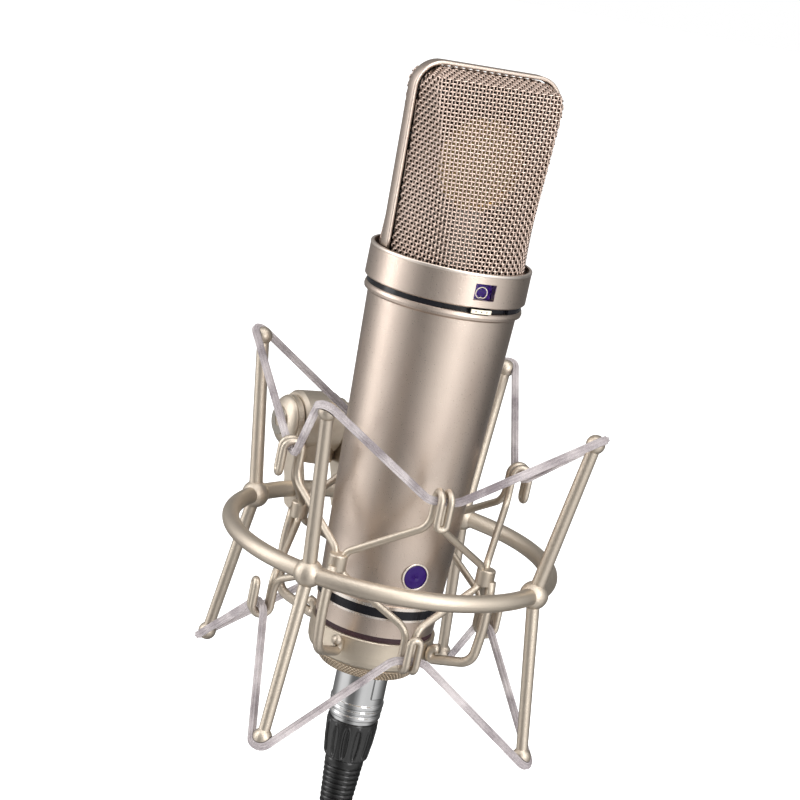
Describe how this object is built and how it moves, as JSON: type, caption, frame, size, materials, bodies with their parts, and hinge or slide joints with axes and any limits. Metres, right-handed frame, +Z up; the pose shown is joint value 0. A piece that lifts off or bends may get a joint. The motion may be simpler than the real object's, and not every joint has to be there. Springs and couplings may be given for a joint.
{
  "type": "condenser microphone",
  "caption": "Side-address large-diaphragm condenser microphone in an elastic shock mount with a thread swivel, with its plugged-in lead coiled below.",
  "frame": {"origin": "centre of the mouth of the swivel's stand thread", "axes": "+Z up along the microphone and out of the stand, -Y is the side the microphone faces"},
  "size_m": [0.12, 0.1419, 0.4262],
  "materials": {
    "satin_nickel": "satin champagne nickel plate with a fine blasted grain",
    "bright_trim": "polished nickel",
    "grille_wire": "satin nickel woven wire",
    "gauze": "fine dark wire gauze",
    "black_gloss": "gloss black enamel",
    "clear_window": "clear",
    "violet_drum": null,
    "violet_badge": "plain violet enamel in a satin rim",
    "dark_washer": "dark oxblood fibre",
    "mount_satin": "satin champagne lacquer",
    "nut_satin": "satin, diamond knurled",
    "knob_satin": "satin, fluted",
    "collar_nickel": "plain nickel",
    "insulator": "black laminate",
    "saddle_plastic": "ivory",
    "capsule_brass": "turned brass",
    "gold_film": "sputtered gold on film",
    "small_screws": "bright",
    "chassis": "plain",
    "board": "green solder mask",
    "transformer_can": "grey lacquer",
    "black_insert": "black",
    "gold_pins": "gold plate",
    "plug_nickel": "bright nickel",
    "plug_black": "satin black with long flutes",
    "boot_rubber": "black, ribbed",
    "lead_jacket": "matt black",
    "tie_fabric": "black hook and loop",
    "elastic": "pale mauve-grey covered elastic"
  },
  "bodies": {
    "stand_socket": {"swivel_block": "mount_satin", "pivot_bolt": "knob_satin"},
    "clamp_knob": {"clamp_knob": "knob_satin"},
    "cage": {"bracket_arms": "mount_satin", "outer_ring": "mount_satin", "upper_posts": "mount_satin", "lower_posts": "mount_satin", "upper_elastic": "elastic", "lower_elastic": "elastic"},
    "basket": {"upper_lattice": "mount_satin", "lower_lattice": "mount_satin", "lattice_sleeves": "mount_satin", "cup_wires": "mount_satin", "basket_cup": "mount_satin", "cup_washer": "dark_washer"},
    "nut": {"knurled_nut": "nut_satin", "nut_retainer": "small_screws"},
    "microphone": {"grille_bezel": "satin_nickel", "front_grille": "grille_wire", "rear_grille": "grille_wire", "grille_gauze": "gauze", "head_ring": "satin_nickel", "indicator_window": "clear_window", "groove_strip": "black_gloss", "shoulder_ring": "satin_nickel", "body_tube": "satin_nickel", "badge": "violet_badge", "trim_rings": "bright_trim", "base_band": "black_gloss", "base_section": "satin_nickel", "threaded_collar": "collar_nickel", "head_plate": "insulator", "capsule_saddle": "saddle_plastic", "capsule_backplate": "capsule_brass", "front_diaphragm": "gold_film", "rear_diaphragm": "gold_film", "capsule_rings": "capsule_brass", "capsule_screws": "small_screws", "chassis_rails": "chassis", "circuit_boards": "board", "transformer": "transformer_can", "chassis_screws": "small_screws", "socket_insert": "black_insert", "socket_pins": "gold_pins"},
    "pattern_slider": {"pattern_switch": "bright_trim", "pattern_drum": "violet_drum"},
    "pad_slider": {"pad_switch": "bright_trim"},
    "low_cut_slider": {"low_cut_switch": "bright_trim"},
    "lead_plug": {"plug_shell": "plug_nickel", "plug_insert": "black_insert", "plug_contacts": "gold_pins", "plug_bushing": "plug_black", "plug_boot": "boot_rubber", "lead_tube": "lead_jacket", "lead_coil": "lead_jacket", "coil_tie": "tie_fabric", "end_plug_shell": "plug_nickel", "end_plug_insert": "black_insert", "end_plug_boot": "boot_rubber"},
    "latch": {"latch_button": "plug_nickel"}
  },
  "joints": [
    {"name": "swivel_tilt", "type": "hinge", "parent": "stand_socket", "child": "cage", "pos_m": [0, 0, 0.0135], "axis": [-0.9976, -0.0698, 0], "range_deg": [-3, 100]},
    {"name": "clamp_turn", "type": "hinge", "parent": "stand_socket", "child": "clamp_knob", "pos_m": [0, 0, 0.0135], "axis": [-0.9976, -0.0698, 0], "continuous": true},
    {"name": "suspension", "type": "slide", "parent": "cage", "child": "basket", "axis": [0, 0, 1], "range_m": [-0.004, 0.004], "stiffness_N_per_m": 3000, "springref_m": 0.00347, "deforming": ["upper_elastic", "lower_elastic"]},
    {"name": "nut_spin", "type": "hinge", "parent": "basket", "child": "nut", "pos_m": [0.00488, -0.06983, 0], "axis": [0, 0, 1], "continuous": true},
    {"name": "mic_turn", "type": "hinge", "parent": "basket", "child": "microphone", "pos_m": [0.00488, -0.06983, 0], "axis": [0, 0, 1], "continuous": true},
    {"name": "pattern_slide", "type": "hinge", "parent": "microphone", "child": "pattern_slider", "pos_m": [0.00488, -0.06983, 0], "axis": [0, 0, 1], "range_deg": [-18, 18]},
    {"name": "pad_slide", "type": "hinge", "parent": "microphone", "child": "pad_slider", "pos_m": [0.00488, -0.06983, 0], "axis": [0, 0, 1], "range_deg": [0, 12]},
    {"name": "low_cut_slide", "type": "hinge", "parent": "microphone", "child": "low_cut_slider", "pos_m": [0.00488, -0.06983, 0], "axis": [0, 0, 1], "range_deg": [0, 12]},
    {"name": "plug_out", "type": "slide", "parent": "microphone", "child": "lead_plug", "axis": [0, 0, -1], "range_m": [0, 0.025]},
    {"name": "latch_press", "type": "slide", "parent": "lead_plug", "child": "latch", "axis": [-0.342, 0.9397, 0], "range_m": [0, 0.0008], "stiffness_N_per_m": 1500}
  ]
}
